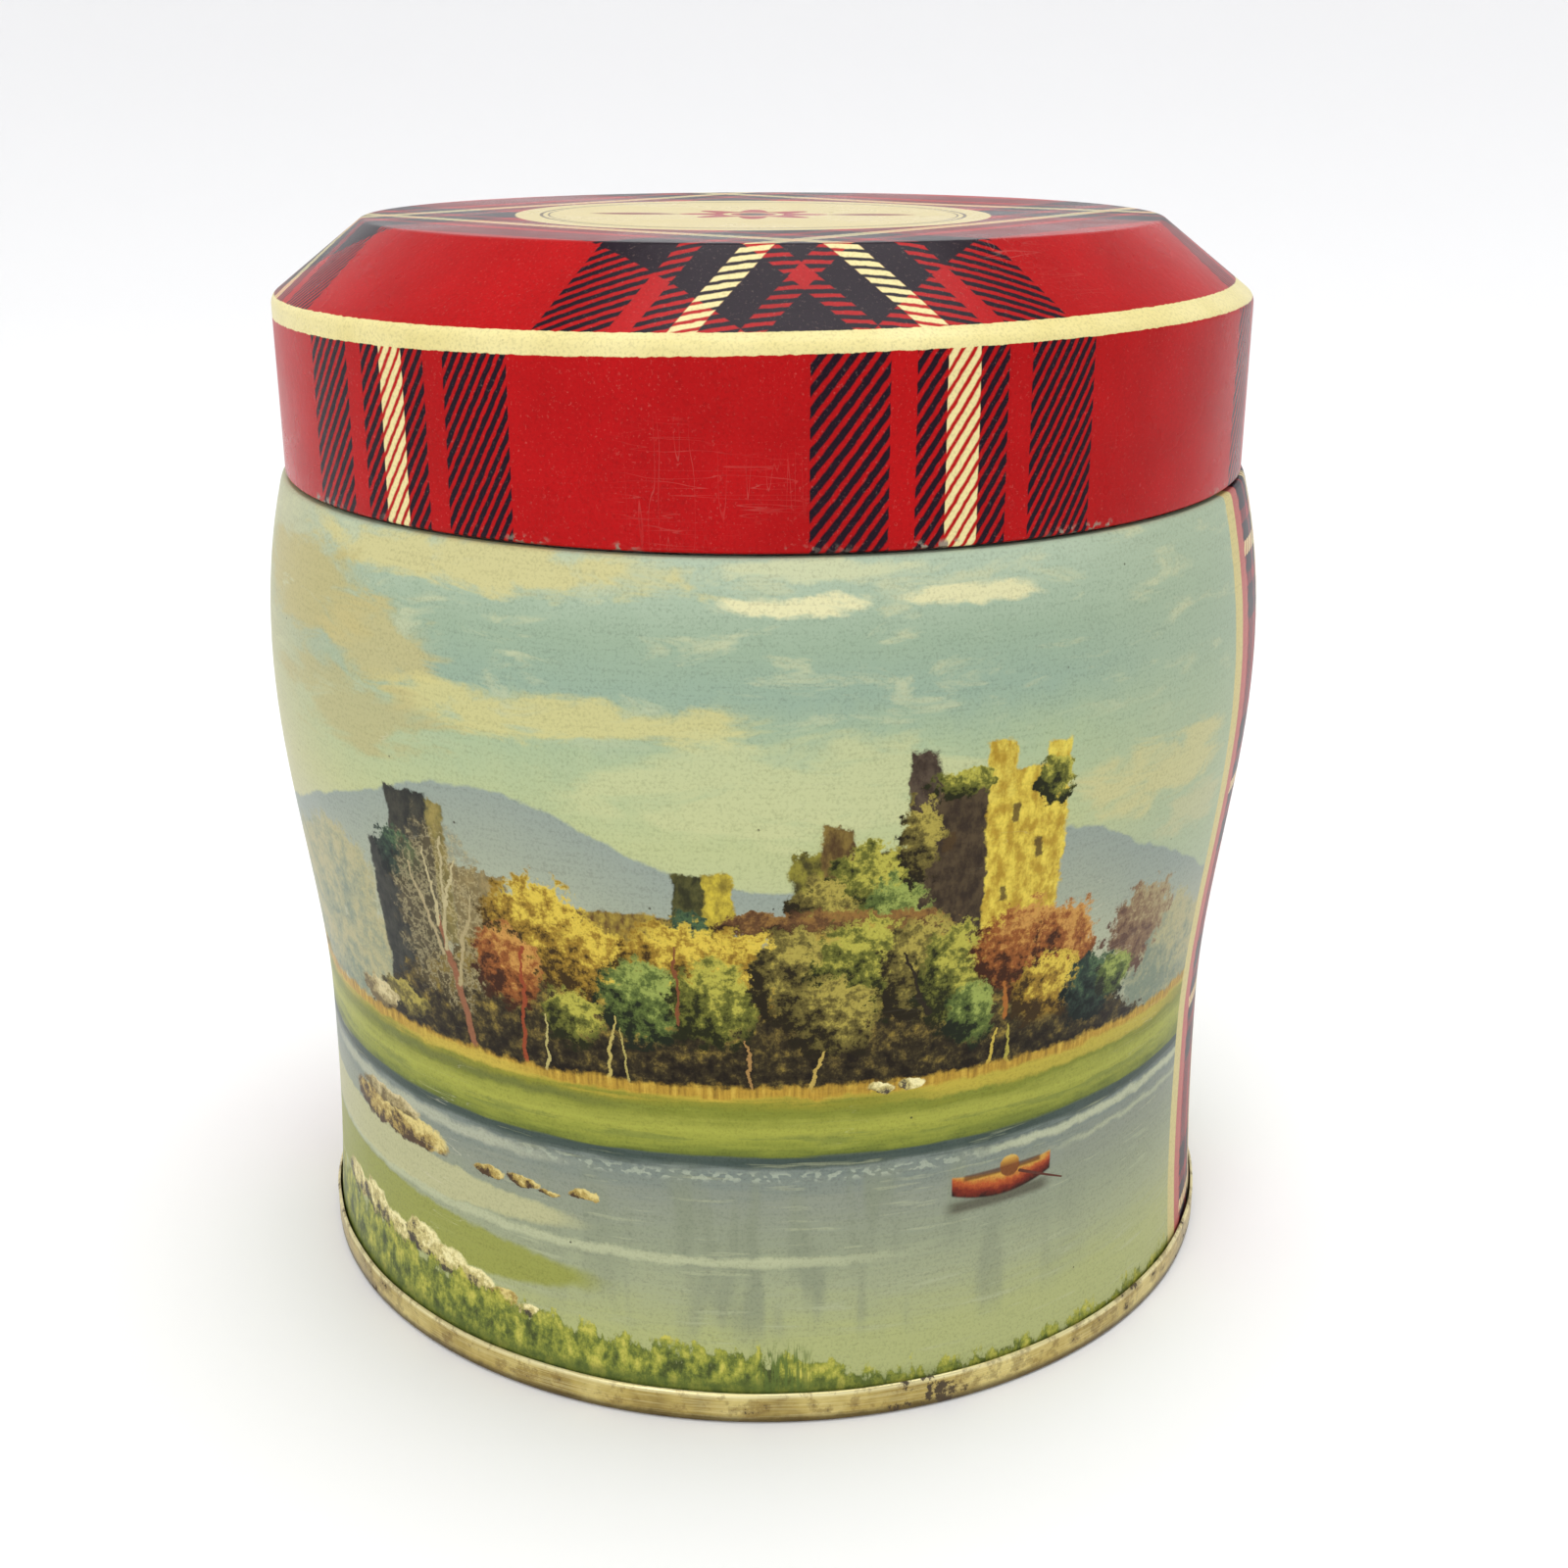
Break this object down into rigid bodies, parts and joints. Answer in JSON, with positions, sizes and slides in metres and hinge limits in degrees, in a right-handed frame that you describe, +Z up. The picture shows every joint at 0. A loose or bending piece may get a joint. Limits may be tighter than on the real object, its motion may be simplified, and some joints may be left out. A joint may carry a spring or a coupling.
{
  "type": "cookie tin",
  "caption": "Round bulged sheet-metal cookie tin with a chamfered slip-on lid, a necked and curled mouth and a double-seamed base.",
  "frame": {"origin": "centre of the circle that the tin stands on", "axes": "+Z up along the tin's axis, from the base to the lid; -Y is the front of the printed picture"},
  "size_m": [0.1098, 0.1098, 0.1153],
  "materials": {
    "red_print": "gloss lithographed red check print on tinplate, lightly scratched",
    "picture_print": "semi-gloss lithographed landscape print on tinplate",
    "gold_lacquer": "worn gold lacquer on tinplate with rust marks"
  },
  "bodies": {
    "tin": {"body_wall": "picture_print", "base_end": "gold_lacquer"},
    "lid": {"lid_shell": "red_print"}
  },
  "joints": [
    {"name": "lid_lift", "type": "slide", "parent": "tin", "child": "lid", "axis": [0, 0, 1], "range_m": [0, 0.06]}
  ]
}
